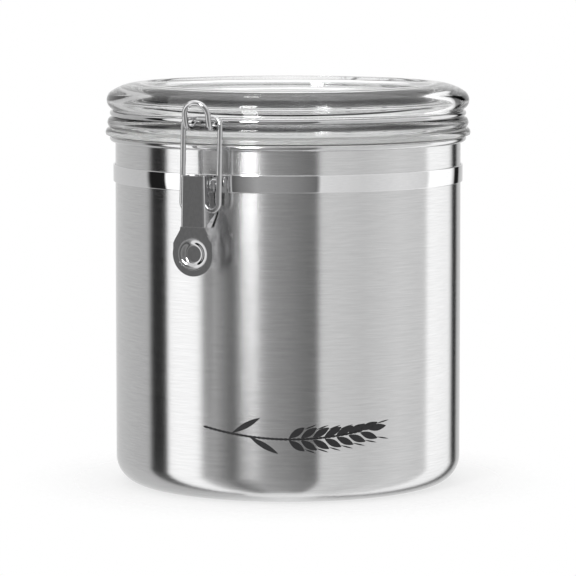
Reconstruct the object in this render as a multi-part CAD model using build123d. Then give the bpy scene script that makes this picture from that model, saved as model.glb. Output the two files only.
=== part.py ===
"""Flour canister with a clamp lid, modelled as separate pieces in millimetres.

The canister stands on its flat base. The origin is the middle of that base, +Z is up,
the clamp is at the front (-Y) and the lid hinge at the back (+Y).
"""
import math
import os

from build123d import *

# Body, a drawn steel tub with an outward rolled rim
body_radius = 90.0
body_wall = 0.6
body_corner_radius = 13.5
rim_top_z = 181.5
rim_bead_radius = 1.7

# Strap round the body that carries the clamp and the hinge
band_drop = 24.1
band_height = 8.8
band_thickness = 1.0
band_fit = 0.02
band_edge_round = 0.35
band_gap = 3.0

# Lid, a clear moulding with a rounded shoulder, a sunk panel and a plug
lid_flange_overhang = 2.2
lid_rib_inset = 1.0
lid_bulge_inset = 0.65
lid_notch_depth = 2.5
lid_wall = 2.4
crest_extra_wall = 0.3
lid_panel_depth = 4.8
plug_depth = 5.2
plug_clearance = 1.0
gasket_thickness = 1.7
gasket_gap = 0.1
gasket_skirt = 1.9

# Heights on the lid, all measured up from the rim
flange_bottom_rise = 0.3
flange_bulge_rise = 1.2
lower_notch_rise = 3.8
rib_rise = 6.5
upper_notch_rise = 9.1
wire_rise = 11.3
bulge_notch_rise = 13.5
bulge_rise = 17.9

# Shoulder arcs of the lid
shoulder_radius = 5.5
shoulder_turn = 57.0
crown_radius = 26.0
bulge_under_radius = 5.0
cavity_corner_radius = 6.0

# Wire of the lid ring, the hook and the bail
wire_radius = 1.43
wire_ring_inset = 3.65
groove_clearance = 0.15

# Hook on the front of the lid wire
hook_side_clearance = 0.89
hook_dip_reach = 5.15
hook_dip_drop = 2.7
hook_corner_reach = 10.25
hook_corner_drop = 2.6
hook_top_reach = 13.25
hook_top_rise = 9.7
hook_foot_bend = 3.0
hook_heel_bend = 2.4
hook_top_flat = 0.2
hook_end_length = 3.4

# Hinge behind the lid, where the lid wire turns in a rolled knuckle
hinge_reach = 13.15
hinge_drop = 3.5
hinge_half_width = 12.0
hinge_bend = 3.5
hinge_fit = 0.08
knuckle_wall = 0.95
hinge_plate_margin = 5.5
sheet = 0.8

# Lever and the pin that it turns on
pivot_reach = 8.68
pivot_rise = 4.6
pin_radius = 1.5
pin_fit = 0.05
pin_head_lip = 0.8
pin_head_thickness = 0.8
lever_half_width = 6.3
lever_top_rise = 4.4
lever_face_reach = 6.9
lever_ear_wall = 1.55
lever_neck_drop = 21.0
lever_neck_half_width = 6.9
pad_drop = 34.5
pad_radius = 11.2
pad_rim_width = 3.1
dimple_slope_width = 3.0
dimple_depth = 1.3
side_clearance = 0.3

# Bail, the wire loop between the lever and the hook
bail_side_clearance = 1.42
bail_bottom_inset = 1.5
bail_bottom_drop = 13.3
bail_top_reach = 0.4
bail_top_rise = 2.1
bail_bend = 4.0
bail_eye_wall = 1.42

# Bracket that carries the lever
bracket_half_width = 11.5
bracket_inset = 0.2
tongue_half_width = 5.0
tongue_drop = 22.6
tongue_taper = 7.0
tongue_tip_half_width = 2.2
ear_wall = 1.65
ear_turn = 60.0
ear_foot_top_drop = 1.0

# Body, strap and lid: heights and radii that follow from the sizes above
body_inner_radius = body_radius - body_wall
rim_bead_center_radius = body_inner_radius + rim_bead_radius
rim_bead_z = rim_top_z - rim_bead_radius
band_inner_radius = body_radius + band_fit
band_outer_radius = band_inner_radius + band_thickness
band_bottom_z = rim_top_z - band_drop
band_top_z = band_bottom_z + band_height
plate_outer_radius = band_outer_radius + sheet
lid_flange_radius = body_inner_radius + (2 * rim_bead_radius + lid_flange_overhang)
lid_rib_radius = lid_flange_radius - lid_rib_inset
lid_bulge_radius = lid_flange_radius - lid_bulge_inset
bulge_z = rim_top_z + bulge_rise
plug_radius = body_inner_radius - plug_clearance
plug_inner_radius = plug_radius - lid_wall

# Clamp: the lever turns on the bracket, the bail clears the pin and the hook fits in the bail
pivot_radius = plate_outer_radius + pivot_reach
pivot_z = band_bottom_z + pivot_rise
pin_head_radius = pin_radius + pin_head_lip
ear_radius = pin_radius + pin_fit + ear_wall
lever_ear_radius = pin_radius + pin_fit + lever_ear_wall
lever_face_radius = pivot_radius + lever_face_reach
dimple_outer_radius = pad_radius - pad_rim_width
dimple_inner_radius = dimple_outer_radius - dimple_slope_width
pin_half_length = lever_half_width + side_clearance + pin_head_thickness
bail_half_width = pin_half_length + bail_side_clearance + wire_radius
bail_hole_radius = wire_radius + pin_fit
bail_bottom_radius = pivot_radius - bail_bottom_inset
bail_bottom_z = pivot_z - bail_bottom_drop
hook_half_width = bail_half_width - (2 * wire_radius + hook_side_clearance)

# Lid wire: the ring lies in the lid's groove, the hook takes the bail, the loop turns in the knuckle
wire_ring_radius = lid_flange_radius - wire_ring_inset
wire_ring_z = rim_top_z + wire_rise
hook_dip_radius = wire_ring_radius + hook_dip_reach
hook_corner_radius = wire_ring_radius + hook_corner_reach
hook_top_radius = wire_ring_radius + hook_top_reach
bail_top_radius = hook_dip_radius + bail_top_reach
bail_top_z = wire_ring_z + bail_top_rise
hinge_radius = wire_ring_radius + hinge_reach
hinge_z = rim_top_z - hinge_drop
knuckle_bore = wire_radius + hinge_fit
knuckle_radius = knuckle_bore + knuckle_wall
knuckle_half_width = hinge_half_width - hinge_bend
hinge_plate_half_width = knuckle_half_width + hinge_plate_margin


def tube_along(path, radius):
    """A round wire laid along a path, one straight or bent stretch after another."""
    stretches = []
    for edge in path.edges():
        section = Plane(origin=edge @ 0, z_dir=edge % 0) * Circle(radius)
        stretches.append(sweep(section, path=edge))
    wire = stretches[0]
    for stretch in stretches[1:]:
        wire += stretch
    return wire


def ring_sector(inner_radius, outer_radius, bottom_z, top_z, half_width, front):
    """A curved plate that hugs a cylinder, cut straight at both sides."""
    height = top_z - bottom_z
    middle = (bottom_z + top_z) / 2
    ring = Cylinder(outer_radius, height) - Cylinder(inner_radius, 2 * height)
    side = -1 if front else 1
    window = Pos(0, side * outer_radius, 0) * Box(2 * half_width, outer_radius, 2 * height)
    return Pos(0, 0, middle) * (ring & window)


def side_plate(outline, thickness, x):
    """A flat plate in a YZ plane, with its outline given as radius and height pairs."""
    points = [(-radius, height) for radius, height in outline]
    face = make_face(Polyline(points, close=True))
    plate = extrude(Plane.YZ * face, amount=thickness / 2, both=True)
    return Pos(x, 0, 0) * plate


def cross_rod(y, z, radius, half_length):
    """A round rod along X."""
    return Pos(0, y, z) * Rot(0, 90, 0) * Cylinder(radius, 2 * half_length)


def make_body():
    """Deep drawn tub: flat base, rounded corner, straight wall and a rolled rim."""
    outer = body_radius
    corner = body_corner_radius
    with BuildSketch(Plane.XZ) as section:
        with BuildLine():
            base = Line((0, 0), (outer - corner, 0))
            turn = RadiusArc(base @ 1, (outer, corner), -corner)
            wall = Line(turn @ 1, (outer, rim_bead_z))
            lip = Line(wall @ 1, (body_inner_radius, rim_bead_z))
            inside = Line(lip @ 1, (body_inner_radius, corner))
            back = RadiusArc(inside @ 1, (outer - corner, body_wall), corner - body_wall)
            floor = Line(back @ 1, (0, body_wall))
            Line(floor @ 1, base @ 0)
        make_face()
        with Locations((rim_bead_center_radius, rim_bead_z)):
            Circle(rim_bead_radius)
    return revolve(section.sketch, Axis.Z)


def make_band():
    """Strap with rounded edges; its two ends meet behind the canister with a small gap."""
    with BuildSketch(Plane.XZ) as section:
        middle_radius = (band_inner_radius + band_outer_radius) / 2
        with Locations((middle_radius, band_bottom_z + band_height / 2)):
            RectangleRounded(band_thickness, band_height, band_edge_round)
    ring = revolve(section.sketch, Axis.Z)
    gap = Pos(0, body_radius, band_bottom_z) * Box(band_gap, body_radius / 2, 3 * band_height)
    return ring - gap


def make_lid():
    """Clear lid: flange, rib, wire groove, rounded shoulder, sunk panel and plug."""
    flange_z = rim_top_z + flange_bottom_rise
    notch_radius = lid_flange_radius - lid_notch_depth
    notch_drop = lower_notch_rise - flange_bulge_rise
    flange_round = (lid_notch_depth**2 + notch_drop**2) / (2 * lid_notch_depth)
    flange_foot = flange_bulge_rise - flange_bottom_rise
    flange_edge = lid_flange_radius - flange_round + math.sqrt(flange_round**2 - flange_foot**2)
    recess_z = flange_z + gasket_thickness
    skirt_inner = lid_flange_radius - gasket_skirt
    groove = wire_radius + groove_clearance
    turn = math.radians(shoulder_turn)
    shoulder_center = lid_bulge_radius - shoulder_radius
    shoulder_end = (
        shoulder_center + shoulder_radius * math.cos(turn),
        bulge_z + shoulder_radius * math.sin(turn),
    )
    crest_radius = shoulder_end[0] - crown_radius * math.cos(turn)
    crest_z = shoulder_end[1] + crown_radius * (1 - math.sin(turn))
    panel_z = crest_z - lid_panel_depth
    panel_radius = crest_radius - lid_panel_depth
    ceiling_z = crest_z - lid_wall - crest_extra_wall
    inner_round = lid_panel_depth - lid_wall
    cavity_radius = crest_radius - inner_round
    with BuildSketch(Plane.XZ) as section:
        with BuildLine():
            panel = Line((0, panel_z), (panel_radius, panel_z))
            rise = RadiusArc(panel @ 1, (crest_radius, crest_z), lid_panel_depth)
            crown = RadiusArc(rise @ 1, shoulder_end, crown_radius)
            shoulder = RadiusArc(crown @ 1, (lid_bulge_radius, bulge_z), shoulder_radius)
            notch_z = rim_top_z + bulge_notch_rise
            drop = notch_z - bulge_z
            under_x = lid_bulge_radius - bulge_under_radius
            under_x += math.sqrt(bulge_under_radius**2 - drop**2)
            under = RadiusArc(shoulder @ 1, (under_x, notch_z), bulge_under_radius)
            lip = Line(under @ 1, (wire_ring_radius, wire_ring_z + groove))
            slot = ThreePointArc(
                lip @ 1,
                (wire_ring_radius - groove, wire_ring_z),
                (wire_ring_radius, wire_ring_z - groove),
            )
            edge = Line(slot @ 1, (notch_radius, rim_top_z + upper_notch_rise))
            rib = ThreePointArc(
                edge @ 1,
                (lid_rib_radius, rim_top_z + rib_rise),
                (notch_radius, rim_top_z + lower_notch_rise),
            )
            flange = ThreePointArc(
                rib @ 1,
                (lid_flange_radius, rim_top_z + flange_bulge_rise),
                (flange_edge, flange_z),
            )
            skirt = Line(flange @ 1, (skirt_inner, flange_z))
            skirt_in = Line(skirt @ 1, (skirt_inner, recess_z))
            seat = Line(skirt_in @ 1, (plug_radius, recess_z))
            plug = Line(seat @ 1, (plug_radius, rim_top_z - plug_depth))
            foot = Line(plug @ 1, (plug_inner_radius, rim_top_z - plug_depth))
            cavity = Line(foot @ 1, (plug_inner_radius, ceiling_z - cavity_corner_radius))
            corner_x = plug_inner_radius - cavity_corner_radius
            corner = RadiusArc(cavity @ 1, (corner_x, ceiling_z), -cavity_corner_radius)
            ceiling = Line(corner @ 1, (cavity_radius + inner_round, ceiling_z))
            round_in = RadiusArc(ceiling @ 1, (cavity_radius, ceiling_z - inner_round), -inner_round)
            wall_in = Line(round_in @ 1, (cavity_radius, panel_z - lid_wall))
            under_panel = Line(wall_in @ 1, (0, panel_z - lid_wall))
            Line(under_panel @ 1, panel @ 0)
        make_face()
    return revolve(section.sketch, Axis.Z)


def make_gasket():
    """Silicone ring in the recess under the lid flange, just over the rolled rim."""
    bottom = rim_top_z + gasket_gap
    top = rim_top_z + flange_bottom_rise + gasket_thickness
    height = top - bottom
    outer = lid_flange_radius - gasket_skirt - gasket_gap
    ring = Cylinder(outer, height) - Cylinder(plug_radius, 2 * height)
    return Pos(0, 0, (top + bottom) / 2) * ring


def make_lid_wire():
    """Sprung wire in the lid groove, with the front hook and the rear hinge loop."""
    ring = Pos(0, 0, wire_ring_z) * Torus(wire_ring_radius, wire_radius)
    hook_y = -math.sqrt(wire_ring_radius**2 - hook_half_width**2)
    gap_reach = 2 * wire_radius
    gap_left = -hook_half_width + hook_end_length
    gap_width = hook_half_width - gap_left
    gap_center = (gap_left + hook_half_width) / 2
    gap = Pos(gap_center, -wire_ring_radius, wire_ring_z) * Box(gap_width, 2 * gap_reach, 2 * gap_reach)
    dip_z = wire_ring_z - hook_dip_drop
    heel_z = wire_ring_z - hook_corner_drop
    top_z = wire_ring_z + hook_top_rise
    side = hook_half_width
    hook_points = [
        (-side, hook_y, wire_ring_z),
        (-side, -hook_dip_radius, dip_z),
        (-side, -hook_corner_radius, heel_z),
        (-side, -hook_top_radius, top_z),
        (side, -hook_top_radius, top_z),
        (side, -hook_corner_radius, heel_z),
        (side, -hook_dip_radius, dip_z),
        (side, hook_y, wire_ring_z),
    ]
    top_bend = hook_half_width - hook_top_flat
    bends = [hook_foot_bend, hook_heel_bend, top_bend, top_bend, hook_heel_bend, hook_foot_bend]
    hook = tube_along(FilletPolyline(*hook_points, radius=bends), wire_radius)
    arm_y = math.sqrt(wire_ring_radius**2 - hinge_half_width**2)
    wide = hinge_half_width
    loop_points = [
        (-wide, arm_y, wire_ring_z),
        (-wide, hinge_radius, wire_ring_z),
        (-wide, hinge_radius, hinge_z),
        (wide, hinge_radius, hinge_z),
        (wide, hinge_radius, wire_ring_z),
        (wide, arm_y, wire_ring_z),
    ]
    loop = tube_along(FilletPolyline(*loop_points, radius=hinge_bend), wire_radius)
    return ring - gap + hook + loop


def make_bail():
    """Closed wire loop; its lower bar turns in the lever, its upper bar sits in the hook."""
    bottom = (-bail_bottom_radius, bail_bottom_z)
    top = (-bail_top_radius, bail_top_z)
    points = [
        (bail_half_width, *bottom),
        (bail_half_width, *top),
        (-bail_half_width, *top),
        (-bail_half_width, *bottom),
    ]
    return tube_along(FilletPolyline(*points, radius=bail_bend, close=True), wire_radius)


def make_front_bracket():
    """Pressed bracket on the strap: curved plate, two ears for the pin and a tongue."""
    bottom = band_bottom_z + bracket_inset
    top = band_top_z - bracket_inset
    plate = ring_sector(band_outer_radius, plate_outer_radius, bottom, top, bracket_half_width, True)
    tip_z = pivot_z - tongue_drop
    tongue = ring_sector(band_outer_radius, plate_outer_radius, tip_z, top, tongue_half_width, True)
    for side in (-1, 1):
        corner = [
            (side * tongue_tip_half_width, tip_z),
            (side * tongue_half_width, tip_z + tongue_taper),
            (side * 2 * tongue_half_width, tip_z + tongue_taper),
            (side * 2 * tongue_half_width, tip_z - tongue_taper),
            (side * tongue_tip_half_width, tip_z - tongue_taper),
        ]
        cutter = extrude(Plane.XZ * make_face(Polyline(corner, close=True)), amount=2 * body_radius)
        tongue -= cutter
    bracket = plate + tongue
    ear_x = lever_half_width - sheet - side_clearance - sheet / 2
    foot_radius = band_outer_radius + sheet / 2
    turn = math.radians(ear_turn)
    ear_outline = [
        (foot_radius, bottom),
        (foot_radius, pivot_z - ear_foot_top_drop),
        (pivot_radius - ear_radius * math.cos(turn), pivot_z + ear_radius * math.sin(turn)),
        (pivot_radius, pivot_z),
        (pivot_radius, pivot_z - ear_radius),
    ]
    for x in (-ear_x, ear_x):
        bracket += side_plate(ear_outline, sheet, x)
        bracket += Pos(x, 0, 0) * cross_rod(-pivot_radius, pivot_z, ear_radius, sheet / 2)
    return bracket - cross_rod(-pivot_radius, pivot_z, pin_radius + pin_fit, 2 * lever_half_width)


def make_lever():
    """Pressed lever: channel on the pin, with a neck and a round dimpled finger pad."""
    top_z = pivot_z + lever_top_rise
    neck_z = pivot_z - lever_neck_drop
    pad_z = pivot_z - pad_drop
    back = lever_face_radius - sheet
    eye = bail_hole_radius + bail_eye_wall
    face_outline = [
        (-lever_half_width, top_z),
        (-lever_neck_half_width, neck_z),
        (-pad_radius, pad_z + pad_radius / 2),
        (-pad_radius, pad_z),
        (pad_radius, pad_z),
        (pad_radius, pad_z + pad_radius / 2),
        (lever_neck_half_width, neck_z),
        (lever_half_width, top_z),
    ]
    face = Plane.XZ * make_face(Polyline(face_outline, close=True))
    plate = Pos(0, -back, 0) * extrude(face, amount=sheet)
    pad_axis = Pos(0, -back - sheet / 2, pad_z) * Rot(90, 0, 0)
    lower_corners = pad_axis * (
        Pos(0, -pad_radius / 2, 0) * Box(3 * pad_radius, 3 * pad_radius, 3 * sheet)
        - Cylinder(pad_radius, 4 * sheet)
        - Pos(0, 1.5 * pad_radius, 0) * Box(4 * pad_radius, 2 * pad_radius, 4 * sheet)
    )
    plate = plate - lower_corners - pad_axis * Cylinder(dimple_outer_radius, 3 * sheet)
    half = sheet / 2
    dimple_outline = [
        (0, -dimple_depth - half),
        (dimple_inner_radius, -dimple_depth - half),
        (dimple_outer_radius, -half),
        (pad_radius, -half),
        (pad_radius, half),
        (dimple_outer_radius, half),
        (dimple_inner_radius, half - dimple_depth),
        (0, half - dimple_depth),
    ]
    pad = revolve(Plane.XZ * make_face(Polyline(dimple_outline, close=True)), Axis.Z)
    lever = plate + pad_axis * pad
    flange_outline = [
        (back + half, top_z),
        (pivot_radius - lever_ear_radius / 2, top_z),
        (pivot_radius - lever_ear_radius, pivot_z + lever_ear_radius / 2),
        (pivot_radius - lever_ear_radius, pivot_z - lever_ear_radius),
        (bail_bottom_radius - eye, bail_bottom_z + eye / 2),
        (bail_bottom_radius - eye, bail_bottom_z - eye / 2),
        (bail_bottom_radius - eye / 3, bail_bottom_z - eye),
        (back + half, neck_z),
    ]
    flange_x = lever_half_width - half
    for x in (-flange_x, flange_x):
        lever += side_plate(flange_outline, sheet, x)
    lever -= cross_rod(-pivot_radius, pivot_z, pin_radius + pin_fit, 2 * lever_half_width)
    return lever - cross_rod(-bail_bottom_radius, bail_bottom_z, bail_hole_radius, 2 * lever_half_width)


def make_lever_pin():
    """Headed pin through the bracket ears and the lever sides."""
    shank_half = lever_half_width + side_clearance
    pin = cross_rod(-pivot_radius, pivot_z, pin_radius, shank_half)
    for side in (-1, 1):
        head_x = side * (shank_half + pin_head_thickness / 2)
        head = cross_rod(-pivot_radius, pivot_z, pin_head_radius, pin_head_thickness / 2)
        pin += Pos(head_x, 0, 0) * head
    return pin


def make_hinge_bracket():
    """Rear bracket: curved plate on the strap, a raised strip and a rolled knuckle."""
    bottom = band_bottom_z + bracket_inset
    top = band_top_z - bracket_inset
    plate = ring_sector(
        band_outer_radius, plate_outer_radius, bottom, top, hinge_plate_half_width, False
    )
    foot_radius = band_outer_radius + sheet / 2
    reach = (knuckle_bore + knuckle_wall / 2) / math.sqrt(2)
    strip_top = (hinge_radius - reach, hinge_z - reach)
    strip_outline = [
        (-foot_radius, bottom),
        (-foot_radius, top),
        (-strip_top[0], strip_top[1] + sheet / 2),
        (-strip_top[0] - sheet / 2, strip_top[1] - sheet / 2),
        (-foot_radius - sheet, top - sheet),
        (-foot_radius - sheet / 2, bottom),
    ]
    strip = side_plate(strip_outline, 2 * knuckle_half_width, 0)
    knuckle = cross_rod(hinge_radius, hinge_z, knuckle_radius, knuckle_half_width)
    bore = cross_rod(hinge_radius, hinge_z, knuckle_bore, 2 * knuckle_half_width)
    return plate + strip + knuckle - bore


pieces = {
    "canister_body": make_body(),
    "clamp_band": make_band(),
    "front_bracket": make_front_bracket(),
    "lever_pin": make_lever_pin(),
    "lever": make_lever(),
    "bail": make_bail(),
    "lid": make_lid(),
    "lid_gasket": make_gasket(),
    "lid_wire": make_lid_wire(),
    "hinge_bracket": make_hinge_bracket(),
}

os.makedirs("parts", exist_ok=True)
for name, piece in pieces.items():
    export_step(piece, f"parts/{name}.step")
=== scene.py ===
# %% [markdown]
# # A kitchen canister with a clamp lid
# The canister is a brushed steel tub with a clear, thick lid. A polished strap, a wire bail and
# a pressed lever hold the lid down. We load the measured frame first, because every visible
# piece is built around it, in metres.

# %% Load the frame
import math

import bmesh
import bpy
from mathutils import Matrix, Vector


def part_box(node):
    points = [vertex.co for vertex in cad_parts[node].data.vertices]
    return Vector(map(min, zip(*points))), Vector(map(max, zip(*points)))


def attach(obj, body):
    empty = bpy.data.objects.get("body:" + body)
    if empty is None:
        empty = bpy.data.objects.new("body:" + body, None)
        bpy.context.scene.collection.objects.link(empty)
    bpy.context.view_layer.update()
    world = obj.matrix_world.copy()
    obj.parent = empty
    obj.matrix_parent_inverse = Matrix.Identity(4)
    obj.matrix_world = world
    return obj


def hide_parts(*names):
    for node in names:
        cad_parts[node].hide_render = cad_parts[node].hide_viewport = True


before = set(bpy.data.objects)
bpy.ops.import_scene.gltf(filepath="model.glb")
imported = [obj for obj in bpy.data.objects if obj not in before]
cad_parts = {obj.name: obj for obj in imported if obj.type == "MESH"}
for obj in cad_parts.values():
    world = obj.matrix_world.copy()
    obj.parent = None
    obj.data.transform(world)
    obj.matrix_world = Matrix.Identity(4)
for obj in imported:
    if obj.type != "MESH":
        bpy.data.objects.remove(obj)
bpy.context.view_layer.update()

MM = 0.001
TURN = 2 * math.pi
MERGE_DISTANCE = 0.002 * MM
scene = bpy.context.scene

# %% [markdown]
# Most pieces here are turned shapes or bent wires. On a real canister the tub and the lid come
# from round tools, so a profile that is spun about the upright axis is the honest way to make
# them. We start with helpers that select things, so that an operator touches only what we pick.

# %% Selecting
def deselect_all():
    """Leave edit mode and select nothing."""
    if bpy.context.mode != "OBJECT":
        bpy.ops.object.mode_set(mode="OBJECT")
    bpy.ops.object.select_all(action="DESELECT")


def activate(piece):
    """Make one piece the selected and active one."""
    deselect_all()
    piece.select_set(True)
    bpy.context.view_layer.objects.active = piece


def select_points(piece, test):
    """In edit mode, select only the points that pass a test."""
    bpy.ops.mesh.select_all(action="DESELECT")
    mesh = bmesh.from_edit_mesh(piece.data)
    for vertex in mesh.verts:
        if test(vertex):
            vertex.select_set(True)
    bmesh.update_edit_mesh(piece.data)


# %% [markdown]
# A profile is a list of radius and height pairs. Its straight stretches need only their ends, and
# its round stretches are arcs, worked out by a formula from a centre or from three points.

# %% Arcs
def arc(center, radius, start, end, steps):
    """Points on an arc, with the angles in degrees, measured from the outward direction."""
    points = []
    for i in range(steps + 1):
        angle = math.radians(start + (end - start) * i / steps)
        points.append((center[0] + radius * math.cos(angle), center[1] + radius * math.sin(angle)))
    return points


def near_angle(angle, other):
    """The same direction as angle, within half a turn of the other angle."""
    return angle - 360 * round((angle - other) / 360)


def arc_through(first, middle, last, steps):
    """Points on the arc through three points."""
    (ax, ay), (bx, by), (cx, cy) = first, middle, last
    d = 2 * (ax * (by - cy) + bx * (cy - ay) + cx * (ay - by))
    a2, b2, c2 = ax * ax + ay * ay, bx * bx + by * by, cx * cx + cy * cy
    ux = (a2 * (by - cy) + b2 * (cy - ay) + c2 * (ay - by)) / d
    uy = (a2 * (cx - bx) + b2 * (ax - cx) + c2 * (bx - ax)) / d
    start, mid, end = [math.degrees(math.atan2(y - uy, x - ux)) for x, y in (first, middle, last)]
    mid = near_angle(mid, start)
    end = near_angle(end, mid)
    return arc((ux, uy), math.hypot(ax - ux, ay - uy), start, end, steps)


# %% [markdown]
# Blender has no pen for a profile, so we squeeze a small plane to one point and extrude that point
# along the outline. A spin then sweeps the outline about the upright axis, as a lathe would. Last
# we merge doubles, point the faces outwards and shade smooth between the sharp edges.

# %% Turned pieces
def finish_mesh(piece, smooth_below=40):
    """Merge doubles, point the faces outwards and shade smooth between sharp edges."""
    activate(piece)
    bpy.ops.object.mode_set(mode="EDIT")
    bpy.ops.mesh.select_all(action="SELECT")
    bpy.ops.mesh.remove_doubles(threshold=MERGE_DISTANCE)
    bpy.ops.mesh.normals_make_consistent(inside=False)
    bpy.ops.object.mode_set(mode="OBJECT")
    bpy.ops.object.shade_smooth_by_angle(angle=math.radians(smooth_below))
    deselect_all()
    return piece


def draw_outline(name, points):
    """A new mesh in edit mode: a chain of points, all selected."""
    deselect_all()
    bpy.ops.mesh.primitive_plane_add(size=MM, location=(0, 0, 0), calc_uvs=False)
    piece = bpy.context.active_object
    piece.name = name
    bpy.ops.object.mode_set(mode="EDIT")
    bpy.ops.mesh.select_all(action="SELECT")
    bpy.ops.mesh.merge(type="CENTER")
    bpy.ops.transform.translate(value=points[0])
    for previous, point in zip(points, points[1:]):
        bpy.ops.mesh.extrude_region_move(TRANSFORM_OT_translate={"value": point - previous})
    bpy.ops.mesh.select_all(action="SELECT")
    return piece


def turned(name, outline, steps=288, closed=False, start=0.0, sweep=TURN):
    """Spin an outline of radius and height pairs, in millimetres, about the upright axis."""
    outward = Vector((math.cos(start), math.sin(start), 0))
    points = [outward * (r * MM) + Vector((0, 0, z * MM)) for r, z in outline]
    piece = draw_outline(name, points)
    if closed:
        bpy.ops.mesh.remove_doubles(threshold=MERGE_DISTANCE)
        select_points(piece, lambda vertex: len(vertex.link_edges) == 1)
        bpy.ops.mesh.edge_face_add()
        bpy.ops.mesh.select_all(action="SELECT")
    bpy.ops.mesh.spin(steps=steps, angle=-sweep, center=(0, 0, 0), axis=(0, 0, 1))
    if sweep < TURN:
        bpy.ops.mesh.select_all(action="SELECT")
        bpy.ops.mesh.fill_holes(sides=0)
    bpy.ops.object.mode_set(mode="OBJECT")
    return finish_mesh(piece)


# %% [markdown]
# A wire is a round section that travels. Where the wire is straight we extrude the ring of
# points, and where it bends we spin the same ring about the centre of the bend. This is how a
# bending jig works, so the bends keep a true round section.

# %% A wire bender
def wire_bend(before, corner, after, radius):
    """Where a bend starts and ends, the centre and axis it turns about, and its angle."""
    back = (before - corner).normalized()
    on = (after - corner).normalized()
    half = back.angle(on) / 2
    cut = radius / math.tan(half)
    middle = corner + (back + on).normalized() * (radius / math.sin(half))
    axis = (-back).cross(on).normalized()
    return corner + back * cut, corner + on * cut, middle, axis, math.pi - 2 * half


def bent_wire(name, corners, bend_radii, wire_radius, closed=False, sides=24, bend_steps=14):
    """A wire along corner points in millimetres, with one bend radius for each inner corner."""
    points = [Vector(p) * MM for p in corners]
    count = len(points)
    inner = range(count) if closed else range(1, count - 1)
    bends = {
        i: wire_bend(points[i - 1], points[i], points[(i + 1) % count], radius * MM)
        for i, radius in zip(inner, bend_radii)
    }
    here = bends[0][1] if closed else points[0]
    forward = (points[1] - points[0]).normalized()
    deselect_all()
    bpy.ops.mesh.primitive_circle_add(
        vertices=sides,
        radius=wire_radius * MM,
        fill_type="NOTHING",
        calc_uvs=False,
        location=here,
        rotation=forward.to_track_quat("Z", "Y").to_euler(),
    )
    piece = bpy.context.active_object
    piece.name = name
    bpy.ops.object.transform_apply(location=True, rotation=True, scale=True)
    bpy.ops.object.mode_set(mode="EDIT")
    bpy.ops.mesh.select_all(action="SELECT")
    if not closed:
        bpy.ops.mesh.edge_face_add()
        bpy.ops.mesh.select_all(action="SELECT")
    for i in [*range(1, count), 0] if closed else range(1, count):
        if i in bends:
            enter, leave, middle, axis, angle = bends[i]
            bpy.ops.mesh.extrude_region_move(TRANSFORM_OT_translate={"value": enter - here})
            bpy.ops.mesh.spin(steps=bend_steps, angle=-angle, center=middle, axis=axis)
            here = leave
        else:
            bpy.ops.mesh.extrude_region_move(TRANSFORM_OT_translate={"value": points[i] - here})
            here = points[i]
    bpy.ops.object.mode_set(mode="OBJECT")
    return finish_mesh(piece)


def join(name, pieces):
    """Several meshes become one piece, kept as separate shells."""
    activate(pieces[0])
    for piece in pieces[1:]:
        piece.select_set(True)
    bpy.ops.object.join()
    whole = bpy.context.active_object
    whole.name = name
    deselect_all()
    return whole


# %% [markdown]
# Shader maths reads best as plain expressions. A small class wraps one socket of a node and adds
# a Math node for each operator, so that a pattern can be written as a sum or a product. A second
# class holds a material or a world, and has one method that adds any other node.

# %% Sockets as numbers
class Sock:
    """A node socket that can be added, subtracted and multiplied."""

    def __init__(self, tree, socket):
        self.tree = tree
        self.socket = socket

    def math(self, operation, *others):
        """Add a Math node that works on this socket and on others, or on numbers."""
        node = self.tree.nodes.new("ShaderNodeMath")
        node.operation = operation
        for place, value in zip(node.inputs, (self, *others)):
            if isinstance(value, Sock):
                self.tree.links.new(value.socket, place)
            else:
                place.default_value = value
        return Sock(self.tree, node.outputs[0])

    def __add__(self, other):
        return self.math("ADD", other)

    def __mul__(self, other):
        return self.math("MULTIPLY", other)

    def __sub__(self, other):
        return self.math("SUBTRACT", other)

    def __rsub__(self, other):
        return (self * -1.0) + other

    __radd__ = __add__
    __rmul__ = __mul__


# %% [markdown]
# Some nodes have several sockets of the same name, such as the two shaders of a mix, so a socket
# can also be picked by its number: i1 is the socket with number 1.

# %% One way to add any node
class Finish:
    """A material or a world that is filled with nodes."""

    def __init__(self, owner):
        owner.use_nodes = True
        self.owner = owner
        self.tree = owner.node_tree
        self.tree.nodes.clear()

    def node(self, kind, settings=None, out=0, **values):
        """Add a node: settings first, then the values or links of its sockets."""
        node = self.tree.nodes.new(kind)
        for key, value in (settings or {}).items():
            if key == "stops":
                ramp = node.color_ramp
                while len(ramp.elements) < len(value):
                    ramp.elements.new(1.0)
                for element, (place, tone) in zip(ramp.elements, value):
                    element.position = place
                    element.color = (tone, tone, tone, 1)
            else:
                setattr(node, key, value)
        for key, value in values.items():
            by_number = key[0] == "i" and key[1:].isdigit()
            socket = node.inputs[int(key[1:]) if by_number else key.replace("_", " ")]
            if isinstance(value, Sock):
                self.tree.links.new(value.socket, socket)
            else:
                socket.default_value = value
        return Sock(self.tree, node.outputs[out]) if node.outputs else None

    def noise(self, squeeze, detail, roughness):
        """Noise on Object coordinates, squeezed by one factor along each axis."""
        place = self.node("ShaderNodeTexCoord", out="Object")
        return self.node(
            "ShaderNodeTexNoise",
            Vector=self.node("ShaderNodeMapping", Vector=place, Scale=squeeze),
            Scale=1.0,
            Detail=detail,
            Roughness=roughness,
        )

    def tones(self, factor, dark, light):
        """A colour between a dark and a light one."""
        mixed = {"Factor": factor, "i6": (*dark, 1), "i7": (*light, 1)}
        return self.node("ShaderNodeMix", {"data_type": "RGBA"}, out=2, **mixed)

    def close(self, shader, kind="ShaderNodeOutputMaterial"):
        """Connect the last shader to the output, and give back the material or world."""
        self.node(kind, Surface=shader)
        return self.owner


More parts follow.
